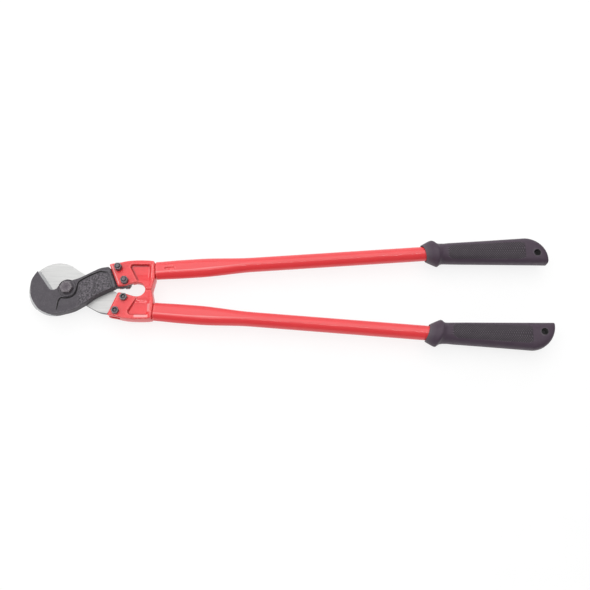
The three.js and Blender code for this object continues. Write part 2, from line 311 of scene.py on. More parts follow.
def sharpen(data, degrees):
    """Smooth shading, with edges sharp where they bend by more than the angle."""
    for polygon in data.polygons:
        polygon.use_smooth = True
    data.set_sharp_from_angle(angle=math.radians(degrees))


def make_object(name, mesh, materials, sharp=32):
    data = bpy.data.meshes.new(name)
    data.from_pydata((np.array(mesh.points) * MM).tolist(), [], mesh.faces)
    data.polygons.foreach_set("material_index", mesh.paint)
    for material in materials:
        data.materials.append(material)
    for mark, values in mesh.marks.items():
        layer = np.zeros(len(mesh.points))
        layer[list(values.keys())] = list(values.values())
        data.attributes.new(mark, "FLOAT", "POINT").data.foreach_set("value", layer)
    data.validate()
    sharpen(data, sharp)
    thing = bpy.data.objects.new(name, data)
    bpy.context.scene.collection.objects.link(thing)
    return thing


def boolean(thing, other, operation, sharp=32):
    """Applies a boolean with another object, and removes the other."""
    step = thing.modifiers.new("cut", "BOOLEAN")
    step.operation, step.object, step.solver = operation, other, "EXACT"
    bpy.context.view_layer.update()
    evaluated = thing.evaluated_get(bpy.context.evaluated_depsgraph_get())
    data = bpy.data.meshes.new_from_object(evaluated)
    thing.modifiers.clear()
    old = thing.data
    thing.data = data
    bpy.data.meshes.remove(old)
    bpy.data.objects.remove(other)
    sharpen(thing.data, sharp)
    return thing


HALF_PLACES = {
    "upper": Matrix.Translation((0, 0, CUT_PLANE * MM)),
    "lower": Matrix.Translation((0, 0, CUT_PLANE * MM)) @ Matrix.Rotation(math.pi, 4, "X"),
}


def settle(thing, name, side, slot_name, *nodes):
    """A copy of a piece drawn in the half-tool's frame, put on its side, riding on its body."""
    copy = thing.copy()
    copy.data = thing.data.copy()
    copy.name = copy.data.name = name
    copy.data.transform(HALF_PLACES[side])
    bpy.context.scene.collection.objects.link(copy)
    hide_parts(*nodes)
    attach(copy, f"{side}_half")
    return copy


# ------------------------------------------------------------------ materials

class Shader:
    """A material with short calls for the nodes that the pieces need. Lengths are millimetres."""

    def __init__(self, name, roughness, metallic=0.0, **uniform):
        self.material = bpy.data.materials.new(name)
        self.material.use_nodes = True
        self.tree = self.material.node_tree
        self.surface = self.tree.nodes["Principled BSDF"]
        self.surface.inputs["Roughness"].default_value = roughness
        self.surface.inputs["Metallic"].default_value = metallic
        for key, value in uniform.items():
            self.surface.inputs[key.replace("_", " ")].default_value = value
        self.place = self.tree.nodes.new("ShaderNodeTexCoord").outputs["Object"]

    def link(self, source, target):
        self.tree.links.new(source, target)

    def scaled(self, x, y, z):
        """Object coordinates in units of the given lengths."""
        node = self.tree.nodes.new("ShaderNodeMapping")
        node.inputs["Scale"].default_value = (1 / (x * MM), 1 / (y * MM), 1 / (z * MM))
        self.link(self.place, node.inputs["Vector"])
        return node.outputs["Vector"]

    def noise(self, size, detail=3.0, roughness=0.5):
        node = self.tree.nodes.new("ShaderNodeTexNoise")
        node.inputs["Scale"].default_value = 1.0
        node.inputs["Detail"].default_value = detail
        node.inputs["Roughness"].default_value = roughness
        size = size if isinstance(size, tuple) else (size,) * 3
        self.link(self.scaled(*size), node.inputs["Vector"])
        return node.outputs["Fac"]

    def attribute(self, name):
        node = self.tree.nodes.new("ShaderNodeAttribute")
        node.attribute_name = name
        return node.outputs["Fac"]

    def spread(self, value, low, high, to_low=0.0, to_high=1.0):
        node = self.tree.nodes.new("ShaderNodeMapRange")
        node.inputs["From Min"].default_value = low
        node.inputs["From Max"].default_value = high
        node.inputs["To Min"].default_value = to_low
        node.inputs["To Max"].default_value = to_high
        self.link(value, node.inputs["Value"])
        return node.outputs["Result"]

    def mix(self, factor, a, b):
        node = self.tree.nodes.new("ShaderNodeMix")
        node.data_type = "RGBA"
        self.link(factor, node.inputs["Factor"])
        for name, colour in (("A", a), ("B", b)):
            socket = next(s for s in node.inputs if s.name == name and s.type == "RGBA")
            if isinstance(colour, tuple):
                socket.default_value = (*colour, 1)
            else:
                self.link(colour, socket)
        return next(s for s in node.outputs if s.type == "RGBA")

    def multiply(self, a, b):
        node = self.tree.nodes.new("ShaderNodeMath")
        node.operation = "MULTIPLY"
        for socket, value in zip(node.inputs, (a, b)):
            if isinstance(value, (int, float)):
                socket.default_value = value
            else:
                self.link(value, socket)
        return node.outputs["Value"]

    def bump(self, height, depth, strength=1.0):
        node = self.tree.nodes.new("ShaderNodeBump")
        node.inputs["Distance"].default_value = depth * MM
        node.inputs["Strength"].default_value = strength
        self.link(height, node.inputs["Height"])
        before = self.surface.inputs["Normal"].links
        if before:
            self.link(before[0].from_socket, node.inputs["Normal"])
        self.link(node.outputs["Normal"], self.surface.inputs["Normal"])

    def colour(self, socket):
        self.link(socket, self.surface.inputs["Base Color"])

    def roughness(self, socket):
        self.link(socket, self.surface.inputs["Roughness"])


def forged_black():
    """Black oxide on a forging: mottled, finely pitted, rubbed on its edges, with painted shade in its
    creases.
    """
    s = Shader("forged_black", 0.5)
    mottle = s.mix(s.noise(7, 4, 0.6), (0.038, 0.031, 0.041), (0.072, 0.062, 0.075))
    specks = s.spread(s.noise(0.9, 2), 0.58, 0.70)
    speckled = s.mix(s.multiply(specks, 0.5), mottle, (0.115, 0.105, 0.115))
    rub = s.multiply(s.attribute("edge_wear_and_sheen"), s.spread(s.noise(2.2, 4, 0.7), 0.40, 0.62))
    rubbed = s.mix(s.multiply(rub, 0.6), speckled, (0.19, 0.18, 0.19))
    lumps = s.noise(2.0, 3, 0.6)
    bright = s.multiply(s.attribute("grit"), s.spread(lumps, 0.50, 0.64))
    sooty = s.multiply(s.attribute("grit"), s.spread(lumps, 0.47, 0.36))
    gritty = s.mix(s.multiply(bright, 0.8), rubbed, (0.16, 0.14, 0.16))
    pitted = s.mix(s.multiply(sooty, 0.85), gritty, (0.008, 0.006, 0.008))
    # Painted shade, near black, in the step round the arm's recess and at the foot of the boss.
    s.colour(s.mix(s.attribute("painted_shade"), pitted, (0.004, 0.003, 0.004)))
    s.roughness(s.spread(s.noise(4, 3), 0.3, 0.7, 0.40, 0.56))
    s.bump(s.noise(0.6, 3, 0.6), 0.06)
    s.bump(s.noise(3.5, 3), 0.10)
    return s.material


def ground_steel(name, light, dark):
    """Surface-ground tool steel with the wheel's fine lines along X."""
    s = Shader(name, 0.42, 0.45)
    lines = s.noise((26, 0.30, 0.30), 3, 0.65)
    cloud = s.mix(s.noise(14, 3), tuple(0.9 * c for c in light), light)
    s.colour(s.mix(s.spread(lines, 0.38, 0.62, 0.0, 0.75), cloud, dark))
    s.roughness(s.spread(lines, 0.3, 0.7, 0.38, 0.50))
    s.bump(lines, 0.015)
    return s.material


def red_paint(name, roughness, grain_size, grain_depth, coat):
    s = Shader(name, roughness, 0.0, Coat_Weight=coat, Coat_Roughness=0.06)
    tone = s.mix(s.noise(30, 3), (0.74, 0.026, 0.034), (0.82, 0.036, 0.044))
    fine = s.mix(s.multiply(s.spread(s.noise(0.8, 2), 0.5, 0.8), 0.2), tone, (0.86, 0.07, 0.07))
    # Convex edges paler red: partly edge wear, partly a painted highlight.
    rub = s.multiply(s.attribute("edge_wear_and_sheen"), s.spread(s.noise(1.6, 4, 0.7), 0.42, 0.7))
    rubbed = s.mix(s.multiply(rub, 0.8), fine, (0.92, 0.24, 0.22))
    # Painted highlight, pale pink, on the bracket's crests and rims and along the tube's flattened crests.
    rubbed = s.mix(s.attribute("painted_highlight"), rubbed, (0.92, 0.44, 0.44))
    # Painted shade, dark red, along the walls of the bracket's pocket.
    s.colour(s.mix(s.multiply(s.attribute("painted_shade"), 0.75), rubbed, (0.20, 0.004, 0.008)))
    s.roughness(s.spread(s.noise(5, 3), 0.3, 0.7, roughness - 0.05, roughness + 0.08))
    s.bump(s.noise(grain_size, 2, 0.5), grain_depth)
    return s.material


def black_rubber(name, light, specular):
    """Moulded rubber: cloudy and dusty, with a painted highlight on the tips of the knurl and painted
    shade between them. A low light factor gives a painted-shade copy.
    """
    s = Shader(name, 0.55, 0.0, Sheen_Weight=0.08 * light, Specular_IOR_Level=specular)
    cloud = [tuple(light * c for c in tone) for tone in ((0.048, 0.027, 0.047), (0.066, 0.045, 0.065))]
    tone = s.mix(s.noise(18, 4, 0.6), *cloud)
    tone = s.mix(s.multiply(s.attribute("painted_highlight"), 0.55), tone, (0.13, 0.10, 0.13))
    dust = s.spread(s.noise(0.7, 2), 0.62, 0.8)
    dusty = s.mix(s.multiply(dust, 0.3), tone, (0.10, 0.09, 0.10))
    lightened = s.mix(s.multiply(s.attribute("edge_wear_and_sheen"), 0.35), dusty, (0.16, 0.15, 0.16))
    s.colour(s.mix(s.multiply(s.attribute("painted_shade"), 0.95), lightened, (0.004, 0.001, 0.004)))
    s.roughness(s.spread(s.noise(6, 3), 0.3, 0.7, 0.48, 0.62))
    s.bump(s.noise(0.35, 2, 0.6), 0.03)
    return s.material


def black_fastener():
    s = Shader("black_fastener", 0.40, 0.3)
    tone = s.mix(s.noise(2.5, 4, 0.6), (0.036, 0.026, 0.037), (0.080, 0.062, 0.078))
    rub = s.multiply(s.attribute("edge_wear_and_sheen"), s.spread(s.noise(1.1, 3, 0.7), 0.35, 0.6))
    rubbed = s.mix(s.multiply(rub, 0.8), tone, (0.26, 0.24, 0.25))
    # Painted shade, near black, in the dish of the small heads and round the nuts' bores.
    s.colour(s.mix(s.multiply(s.attribute("painted_shade"), 0.9), rubbed, (0.005, 0.003, 0.005)))
    s.roughness(s.spread(s.noise(1.4, 3), 0.3, 0.7, 0.34, 0.50))
    s.bump(s.noise(0.4, 3, 0.6), 0.02)
    return s.material


FORGED = forged_black()
GROUND = ground_steel("ground_steel", (0.60, 0.60, 0.59), (0.44, 0.44, 0.44))
BEVEL = ground_steel("bevel_steel", (0.56, 0.565, 0.58), (0.45, 0.455, 0.47))
CAST_RED = red_paint("bracket_red", 0.36, 0.9, 0.035, 0.25)
TUBE_RED = red_paint("tube_red", 0.34, 2.2, 0.004, 0.5)
RUBBER = black_rubber("grip_rubber", 1.0, 0.36)
# A darker copy of the rubber, as painted shade on the wall of the hang hole.
HOLE_SHADE_RUBBER = black_rubber("hole_rubber_painted_shade", 0.1, 0.05)
FASTENER = black_fastener()


def mark_edge_wear_and_sheen(thing, degrees=22, reach=2):
    """Marks vertices at convex edges, fading over a few rows of vertices: edge wear, and on the red paint
    also a painted highlight.
    """
    data = thing.data
    count = len(data.vertices)
    normals = np.zeros(len(data.polygons) * 3)
    data.polygons.foreach_get("normal", normals)
    normals = normals.reshape(-1, 3)
    centres = np.zeros(len(data.polygons) * 3)
    data.polygons.foreach_get("center", centres)
    centres = centres.reshape(-1, 3)
    faces_of = {}
    for polygon in data.polygons:
        for key in polygon.edge_keys:
            faces_of.setdefault(key, []).append(polygon.index)
    lightened = np.zeros(count)
    limit = math.cos(math.radians(degrees))
    keys, pairs = [], []
    for key, faces in faces_of.items():
        if len(faces) == 2:
            keys.append(key)
            pairs.append(faces)
    keys, pairs = np.array(keys), np.array(pairs)
    first, second = normals[pairs[:, 0]], normals[pairs[:, 1]]
    bent = (first * second).sum(1) < limit
    convex = ((centres[pairs[:, 1]] - centres[pairs[:, 0]]) * first).sum(1) < 0
    lightened[keys[bent & convex].ravel()] = 1
    for _ in range(reach):
        spread = lightened.copy()
        np.maximum.at(spread, keys[:, 0], lightened[keys[:, 1]] * 0.5)
        np.maximum.at(spread, keys[:, 1], lightened[keys[:, 0]] * 0.5)
        lightened = spread
    layer = data.attributes.new("edge_wear_and_sheen", "FLOAT", "POINT")
    layer.data.foreach_set("value", lightened)


# ------------------------------------------------------------------ blade

EDGE_ALONG = np.array([math.cos(EDGE_ANGLE), math.sin(EDGE_ANGLE)])
EDGE_NORMAL = np.array([math.sin(EDGE_ANGLE), -math.cos(EDGE_ANGLE)])
SHOULDER = ((57.3, 2.4), (47.2, 27.6))


def throat(setback):
    """Radius and centre of the throat arc, tangent to the cutting edge and to the boss."""
    radius = THROAT_R + setback
    across = THROAT_R - EDGE_DISTANCE
    along = math.sqrt((BOSS_R + radius) ** 2 - across ** 2)
    return radius, across * EDGE_NORMAL + along * EDGE_ALONG


# Hook circle and belly of each blade: the rear one's hook is a little larger
HOOKS = {
    "front": ((HOOK_X, 0.0), 31.6, [(-3.9, -29.9), (9, -26), (21.3, -18.8)]),
    "rear": ((-14.3, -1.0), 33.1, [(0.3, -30.8), (10.3, -23.9), (16.5, -20.0), (21.9, -17.6)]),
}


def blade_outline(which, setback):
    """The blade's outline, and for each point 1 where its edge is forged and 0 where it is ground."""
    hook_centre, hook_r, belly = HOOKS[which]
    radius, centre = throat(setback)
    start = centre - radius * EDGE_NORMAL
    offset = start - hook_centre
    along = offset @ EDGE_ALONG
    run = -along + math.sqrt(along ** 2 - offset @ offset + hook_r ** 2)
    tip = offset + run * EDGE_ALONG
    touch = math.atan2(centre[1], centre[0])
    first = np.array(belly[0]) - hook_centre
    outside = [
        arc(hook_centre, hook_r, math.atan2(tip[1], tip[0]), math.atan2(*first[::-1]) + math.tau, 110),
        spline(belly, 30)[1:],
        spline([belly[-1], (32, -10.2), (43.3, -4.2), (54.6, 1.2)], 50)[1:],
        spline([(55.6, 1.9), (56.6, 4.2)], 3)[:-1],
        np.linspace((56.55, 4.3), (48.4, 24.7), 26),
        spline([(47.8, 26.2), (46.2, 27.55)], 3),
        spline([(44.6, 27.3), (36.2, 25.6), (24.9, 19.9), (13.6, 13.9), (4.2, 10.38)], 58),
        arc((0, 0), BOSS_R, 1.35, touch, 30),
    ]
    edge = np.linspace(start, start + run * EDGE_ALONG, 34)[1:-1]
    ground = [arc(centre, radius, touch - math.pi, EDGE_ANGLE - math.pi * 1.5, 30)[1:], edge]
    loop = np.vstack(outside + ground)
    forged = np.ones(len(loop))
    forged[sum(map(len, outside)):] = 0
    return loop, forged


def rim_draft(loop):
    """How far the hook's rim leans in by the face, and how much of its height is ground bright."""
    turn = np.degrees(np.arctan2(loop[:, 1], loop[:, 0] - HOOK_X)) % 360
    lean = 0.9 * smooth(120, 150, turn) * smooth(285, 235, turn)
    lean += 1.5 * smooth(150, 185, turn) * smooth(243, 212, turn)
    ground = smooth(172, 196, turn) * smooth(288, 240, turn)
    return 0.35 + lean, ground


RECESS = np.vstack([
    [(-11.5, -36), (-10.3, -23.8), (-9.4, -15.3)],
    spline([(-8.2, -12.6), (-5.8, -11.3), (0, -11.5), (5.5, -10.0), (9.2, -6.4), (11.0, -1)], 24),
    spline([(11.2, 3.5), (12.6, 8.2), (18.4, 12.4), (27.4, 17.4), (36.5, 21.2), (40.6, 20.9)], 30),
    [(43.6, 20.6), (45.4, 21.2), (53.9, 1.0), (55, -8), (20, -34)],
])


def blade_face(points):
    """Height of the forged face: raised hook and boss, recessed arm with a raised upper rim."""
    depth = smooth(0.5, -0.5, signed_distance(points, RECESS))
    depth *= smooth(-28, -17, points[:, 1] - 0.3 * points[:, 0])
    height = BLADE_FACE - PANEL_DEPTH * depth
    from_pivot = np.hypot(*points.T)
    height += BOSS_RISE * smooth(BOSS_R - 0.3, BOSS_R - 1.6, from_pivot)
    rough = depth * smooth(11, 16, points[:, 0])
    height += rough * (0.42 * grain(points, 2.4, 3) + 0.20 * grain(points, 1.1, 8))
    height += 0.05 * grain(points, 5.0, 5)
    short_of_round = np.maximum(SHOULDER_FALL - line_distance(points, *SHOULDER), 0)
    left = np.maximum(SHOULDER_FALL ** 2 - short_of_round ** 2, 0.05)
    return height - (SHOULDER_FALL - np.sqrt(left))


def blade_painted_shade(points):
    """Painted shade in the step round the recess and at the foot of the boss."""
    step = np.abs(signed_distance(points, RECESS) + 0.15)
    reach = smooth(-26, -20, points[:, 1] - 0.35 * points[:, 0]) * smooth(46, 42, points[:, 0])
    boss = np.hypot(*points.T) - (BOSS_R - 0.9)
    return np.maximum(smooth(1.0, 0.3, step) * reach, 0.5 * smooth(0.8, 0.1, np.abs(boss)))


def blade_grit(points):
    """Where the recessed arm panel keeps the rough ground of the forging."""
    x, y = points.T
    inside = smooth(-0.8, -2.0, signed_distance(points, RECESS))
    return inside * smooth(11, 15, x) * smooth(46.5, 44, x + 0.4 * (y - 20))


def blade_mesh(which):
    """The blade without its tang: a drafted wall, a rounded forged corner, and the two faces."""
    low, forged = blade_outline(which, 0)
    draft, ground = rim_draft(low)
    loops = [np.column_stack([low, np.full(len(low), FACE_GAP)])]
    for share in (0.12, 0.3, 0.5, 0.7, 0.85, 1.0):
        loop, _ = blade_outline(which, EDGE_SETBACK * share * (1 - FORGED_ROUND / BLADE_FACE))
        loop = inset(loop, forged * draft * share)
        height = FACE_GAP + (BLADE_FACE - FORGED_ROUND - FACE_GAP) * share
        drop = blade_face(inset(loop, forged * FORGED_ROUND)) - BLADE_FACE
        loops.append(np.column_stack([loop, height + drop * share]))
    for degrees in (25, 50, 70, 90):
        rise = math.sin(math.radians(degrees))
        away = 1 - math.cos(math.radians(degrees))
        share = (BLADE_FACE - FORGED_ROUND * (1 - rise)) / BLADE_FACE
        loop, _ = blade_outline(which, EDGE_SETBACK * share)
        loop = inset(loop, forged * (draft + FORGED_ROUND * away))
        top = blade_face(inset(loop, forged * FORGED_ROUND * (1 - away)))
        loops.append(np.column_stack([loop, top - FORGED_ROUND * (1 - rise)]))
    level = (np.arange(len(loops) - 1) + 0.5) / 7
    paint = np.where((forged > 0) & (level[:, None] > ground), 0, 2)
    return relief_plate(
        loops, lambda p: np.full(len(p), FACE_GAP), blade_face, holes=[((0, 0), PIVOT_R + GAP)],
        grid=0.55, wall_paint=paint, paints=(1, 0),
        marks=((), {"painted_shade": blade_painted_shade, "grit": blade_grit}))


def tang_outline(top, bottom):
    """The tang seen from the face, from the two ends of its left edge."""
    return np.vstack([
        np.linspace(top, bottom, 16),
        spline([(bottom[0] + 0.9, bottom[1] - 0.2), (62.6, 3.2), (68.5, 5.5), (73.8, 8.9)], 14),
        np.linspace((73.9, 10.2), (64.9, 29.3), 14),
        spline([(63.5, 30.3), (58, 29.9), (top[0] + 1.3, top[1] + 1.2)], 10),
    ])


def tang_mesh():
    """The tang's slab. Its back steps up to the ground face just inside the bracket's leading edge."""
    step = FACE_GAP + 0.02
    behind = tang_outline((50.6, 27.6), (60.2, 3.4))
    front = tang_outline((47.4, 26.6), (55.3, 2.6))
    loops = []
    for outline, height, amount in (
            (behind, -TANG_HALF, 0.5), (behind, -3.0, 0.12), (behind, -2.45, 0), (behind, step, 0),
            (front, step + 0.01, 0), (front, 2.45, 0), (front, 3.0, 0.12), (front, TANG_HALF, 0.5)):
        loop = inset(outline, amount)
        loops.append(np.column_stack([loop, np.full(len(loop), height)]))
    flat = [lambda p, z=z: np.full(len(p), z) for z in (-TANG_HALF, TANG_HALF)]
    paint = np.array([0, 0, 0, 1, 0, 0, 0])[:, None]
    return relief_plate(loops, *flat, grid=1.6, wall_paint=paint)


def make_blades():
    for which, side in (("front", "upper"), ("rear", "lower")):
        blade = make_object("blade", blade_mesh(which), (FORGED, GROUND, BEVEL))
        boolean(blade, make_object("tang", tang_mesh(), (FORGED, GROUND, BEVEL)), "UNION")
        mark_edge_wear_and_sheen(blade)
        settle(blade, f"{which}_blade_forging", side, "blade_steel", f"{which}_blade")
        bpy.data.objects.remove(blade)


# ------------------------------------------------------------------ bracket

# Ends of the leading edge, which meets the upper blade's shoulder and covers the lower one's tang
LEADING = {"upper": ((46.5, 30.6), (57.5, 4.8)), "lower": ((48.1, 30.6), (58.3, 4.6))}


def bracket_outline(side):
    """The casting seen from the face, from the upper end of its leading edge."""
    top, bottom = np.array(LEADING[side])
    return np.vstack([
        np.linspace(top, bottom, 30)[:-1],
        arc(bottom + (1.4, 0.5), 1.5, -math.pi * 0.86, -math.pi * 0.42, 6),
        spline([bottom + (2.6, -0.75), (66, 4.7), (73, 6.9), (79.5, 8.5), (85.6, 7.4), (89.6, 3.6),
                (90.7, 0.15)], 70)[1:],
        np.linspace((90.7, 0.15), (98, 0.15), 9)[1:],
        spline([(98, 0.15), (99.5, 7), (101.0, 14.3)], 16)[1:],
        np.linspace((101.0, 14.3), (99.8, 33.2), 24)[1:],
        arc((97.8, 33.3), 2.0, 0.07, math.pi / 2, 5)[1:],
        spline([(97.0, 35.5), (92, 36), (80, 36.1), (68, 35.1), (58, 33), top + (1.8, 1.0)], 60)[1:],
    ])


POCKET = np.vstack([
    spline([(72.0, 27.2), (77, 17.6), (80.8, 10.2), (81.5, 4)], 24),
    spline([(84.5, 3.4), (91, 3.2), (95.4, 4)], 12),
    spline([(95.9, 9), (95.6, 20), (95.2, 28.0)], 20),
    arc((93.0, 28.2), 2.2, 0.0, math.pi / 2, 6),
    arc((75.0, 27.6), 2.8, math.pi / 2, math.pi * 1.12, 6),
])
SLOT = [(40, 0), (79.6, 0), (75.4, 7.9), (60.6, 38), (40, 38)]


def bracket_face(side, points):
    """Height of a cheek: a bevelled leading edge, and a pocket whose floor ramps out to a wide wall."""
    into = signed_distance(points, POCKET)
    wall = 0.6 + 1.3 * smooth(91, 94.5, points[:, 0]) * smooth(9, 13, points[:, 1])
    ramp = smooth(7.5, 21, points[:, 1])
    height = CHEEK - POCKET_DEPTH * smooth(wall, -wall, into) * (0.12 + 0.88 * ramp)
    height += 0.045 * grain(points, 2.4, 11) + 0.02 * grain(points, 1.0, 17)
    height += 0.5 * smooth(96.4, 97.2, points[:, 0]) * smooth(11, 13, points[:, 1])
    leading = line_distance(points, LEADING[side][1], LEADING[side][0])
    return height - LEADING_BEVEL * smooth(2.6, 0.6, -leading)


def bracket_painted_shade(side, points):
    """Painted shade along the pocket's outer and slanted walls, broad on the upper bracket."""
    half = {"upper": 1.15, "lower": 0.55}[side]
    wall = smooth(half + 0.35, half - 0.35, np.abs(signed_distance(points, POCKET) + half - 0.3))
    return 0.85 * wall * smooth(7, 13, points[:, 1]) * smooth(94.4, 92.6, points[:, 0])


def bracket_painted_highlight(side, points):
    """Painted highlight: the leading bevel's crest, the pocket's rim, and two patches on the lower
    casting.
    """
    x, y = points.T
    rim = smooth(0.7, 0.2, np.abs(x - 97.3)) * smooth(13, 15, y) * smooth(31, 29, y)
    crest = smooth(0.7, 0.2, np.abs(-line_distance(points, LEADING[side][1], LEADING[side][0]) - 2.3))
    if side == "upper":
        inner = smooth(0.6, 0.2, np.abs(x - 93.6)) * smooth(14, 16, y) * smooth(30, 27, y)
        return np.maximum.reduce([0.9 * crest, 0.6 * rim, 0.45 * inner])
    band = smooth(93.6, 94.4, x) * smooth(97.6, 96.9, x) * smooth(16.6, 17.6, y) * smooth(27.2, 26.2, y)
    strip = smooth(30.9, 31.5, y) * smooth(34.2, 33.6, y) * smooth(79, 80, x) * smooth(95.6, 94.8, x)
    return np.maximum.reduce([0.25 * crest, 0.3 * rim, 0.75 * band, 0.75 * strip])


def bracket_mesh(side):
    """A casting, with the cheek that faces away cut back along the notch."""
    front = bracket_outline(side)
    back = front.copy()
    x, y = front.T
    relief = 1.6 * smooth(58.5, 62, x) + 1.9 * smooth(67.2, 71, x)
    back[:, 1] += relief * smooth(90, 84, x) * smooth(20, 12, y)
    outlines = (back, front) if side == "upper" else (front, back)
    corners = (0.5, 1.3) if side == "upper" else (1.3, 0.5)
    loops = []
    for sign, outline, corner in zip((-1, 1), outlines, corners):
        top = bracket_face(side, inset(outline, corner))
        edge = []
        for degrees in (90, 66, 44, 22, 0):
            turn = math.radians(degrees)
            loop = inset(outline, corner * (1 - math.cos(turn)))
            edge.append(np.column_stack([loop, sign * (top - corner * (1 - math.sin(turn)))]))
        seam = [np.column_stack([inset(front, -0.22), np.full(len(front), sign * 0.25)]),
                np.column_stack([outline, np.full(len(front), sign * 2.5)])]
        loops += edge + seam[::-1] if sign < 0 else seam + edge[::-1]
    holes = [(place, SMALL_R + GAP) for place in BOLT_PLACES.values()]
    marks = {"painted_shade": lambda p: bracket_painted_shade(side, p), "painted_highlight": lambda p: bracket_painted_highlight(side, p)}
    return relief_plate(
        loops, lambda p: -bracket_face(side, p), lambda p: bracket_face(side, p), holes=holes,
        grid=0.7, marks=(marks, marks))


def make_brackets():
    for side in HALF_PLACES:
        bracket = make_object("bracket", bracket_mesh(side), (CAST_RED,))
        slot = make_object("slot", slab_mesh(SLOT, -TANG_HALF - GAP, TANG_HALF + GAP), (CAST_RED,))
        boolean(bracket, slot, "DIFFERENCE")
        rings = [tube_to_half(tube_ring(d, -TUBE_WALL - GAP)) for d in (-2, 10, 20)]
        boolean(bracket, make_object("spigot", loft(rings), (CAST_RED,)), "UNION")
        mark_edge_wear_and_sheen(bracket)
        settle(bracket, f"{side}_bracket_casting", side, "bracket_paint", f"{side}_bracket")
        bpy.data.objects.remove(bracket)


# ------------------------------------------------------------------ tube

def tube_to_half(points):
    """From the tube's own frame, X along it, to the half-tool's frame."""
    points = np.array(points, float)
    c, s = math.cos(TUBE_ANGLE), math.sin(TUBE_ANGLE)
    x, y = points[:, 0], points[:, 1]
    return np.column_stack([TUBE_START[0] + c * x - s * y, TUBE_START[1] + s * x + c * y, points[:, 2]])


def tube_ring(distance, offset, sides=72, dimple=0.0):
    """A section of the tube: round, or a flat top and bottom between two slanting sides."""
    turn = np.arange(sides) * 2 * math.pi / sides
    round_share = float(smooth(FLAT_LENGTH, ROUND_FROM, distance))
    power = 2 / blend_values(1.75, 2.0, round_share)
    crimp = 0.6 * (1 - float(smooth(0, 34, distance)))
    wide = blend_values(FLAT_HALF_WIDTH - crimp, TUBE_R, round_share) + offset
    thick = blend_values(FLAT_HALF_THICK, TUBE_R, round_share) + offset
    flat = blend_values(FLAT_TOP, 0, round_share)
    c, s = np.cos(turn), np.sin(turn)
    ring = np.column_stack([
        np.full(sides, distance),
        flat * np.clip(4 * c, -1, 1) + (wide - flat) * np.sign(c) * np.abs(c) ** power,
        thick * np.sign(s) * np.abs(s) ** power,
    ])
    if dimple:
        along = max(abs(distance - DIMPLE_AT) - DIMPLE_HALF, 0)
        from_axis = np.hypot(along, ring[:, 1])
        ring[:, 2] -= np.where(ring[:, 2] > 0, dimple * smooth(2.0, 0.8, from_axis), 0)
    return ring


def tube_mesh():
    """The tube, with painted highlight lines along the crests of its flattened part."""
    length = (TUBE_TO - TUBE_START[0]) / math.cos(TUBE_ANGLE)
    near = np.concatenate([[GAP, GAP + 0.35], np.arange(1.4, 30, 0.7), np.arange(30, ROUND_FROM, 2.5)])
    stations = np.concatenate([near, np.linspace(ROUND_FROM, length, 60)])
    outside = []
    for k, distance in enumerate(stations):
        offset = -0.35 if k == 0 else 0.0
        outside.append(tube_to_half(tube_ring(distance, offset, TUBE_SIDES, DIMPLE_DEPTH)))
    inside = []
    for distance in (length, ROUND_FROM, 95, 75, FLAT_LENGTH, GAP):
        inside.append(tube_to_half(tube_ring(distance, -TUBE_WALL, TUBE_SIDES)))
    mesh = loft(outside + inside, closed=True)
    for row, distance in enumerate(stations):
        # Painted highlight along each slanting crest, fading out where the tube turns round.
        lightened = float(smooth(ROUND_FROM + 30, FLAT_LENGTH - 20, distance))
        ring = tube_ring(distance, 0.0, TUBE_SIDES)
        crest = smooth(0.9, 0.3, np.abs(np.abs(ring[:, 1]) - FLAT_TOP * lightened))
        crest *= ring[:, 1] * ring[:, 2] < 0
        mesh.marks["painted_highlight"].update(enumerate(0.4 * lightened * crest, row * TUBE_SIDES))
    return mesh


def make_tubes():
    tube = make_object("tube", tube_mesh(), (TUBE_RED,))
    mark_edge_wear_and_sheen(tube)
    for side in HALF_PLACES:
        settle(tube, f"{side}_handle_tube", side, "tube_paint", f"{side}_tube")
    bpy.data.objects.remove(tube)


# ------------------------------------------------------------------ grip

GRIP_SIDES = 132
KNURL_STEP = 4
KNURL_ROW = 0.68
KNURL_DEPTH = 0.6

# Stations of the collar: X on the outer, inner and flat sides, outer Y, inner Y, half thickness
COLLAR = [
    (416.9, 422.8, 421.3, 58.4, 39.5, 9.6),
    (416.7, 422.6, 421.0, 58.9, 39.0, 10.0),
    (419.6, 425.4, 424.4, 60.7, 37.6, 11.2),
    (423.4, 430.0, 429.2, 62.9, 35.6, 13.1),
    (426.6, 433.8, 433.4, 64.5, 34.0, 14.6),
    (428.2, 435.4, 435.3, 64.9, 33.5, 15.0),
    (429.6, 436.7, 436.9, 64.5, 33.9, 14.7),
    (431.2, 438.0, 438.4, 63.2, 35.2, 13.7),
    (433.6, 439.8, 440.3, 61.9, 36.4, 12.8),
    (437.2, 442.0, 442.8, 61.3, 36.8, 12.45),
    (443.0, 446.0, 447.0, 61.3, 36.8, 12.4),
]


def grip_station(x_outer, x_inner, x_face, outer, inner, half, squareness):
    """A closed ring round the grip, which leans along X from its outer to its inner side."""
    turn = np.arange(GRIP_SIDES) * 2 * math.pi / GRIP_SIDES
    c, s = np.cos(turn), np.sin(turn)
    power = 2 / squareness
    across = np.sign(c) * np.abs(c) ** power
    up = np.sign(s) * np.abs(s) ** power
    middle = (x_outer + x_inner) / 2
    x = middle + c * (x_outer - x_inner) / 2 + s * s * (x_face - middle)
    return np.column_stack([x, (outer + inner) / 2 + (outer - inner) / 2 * across, half * up])


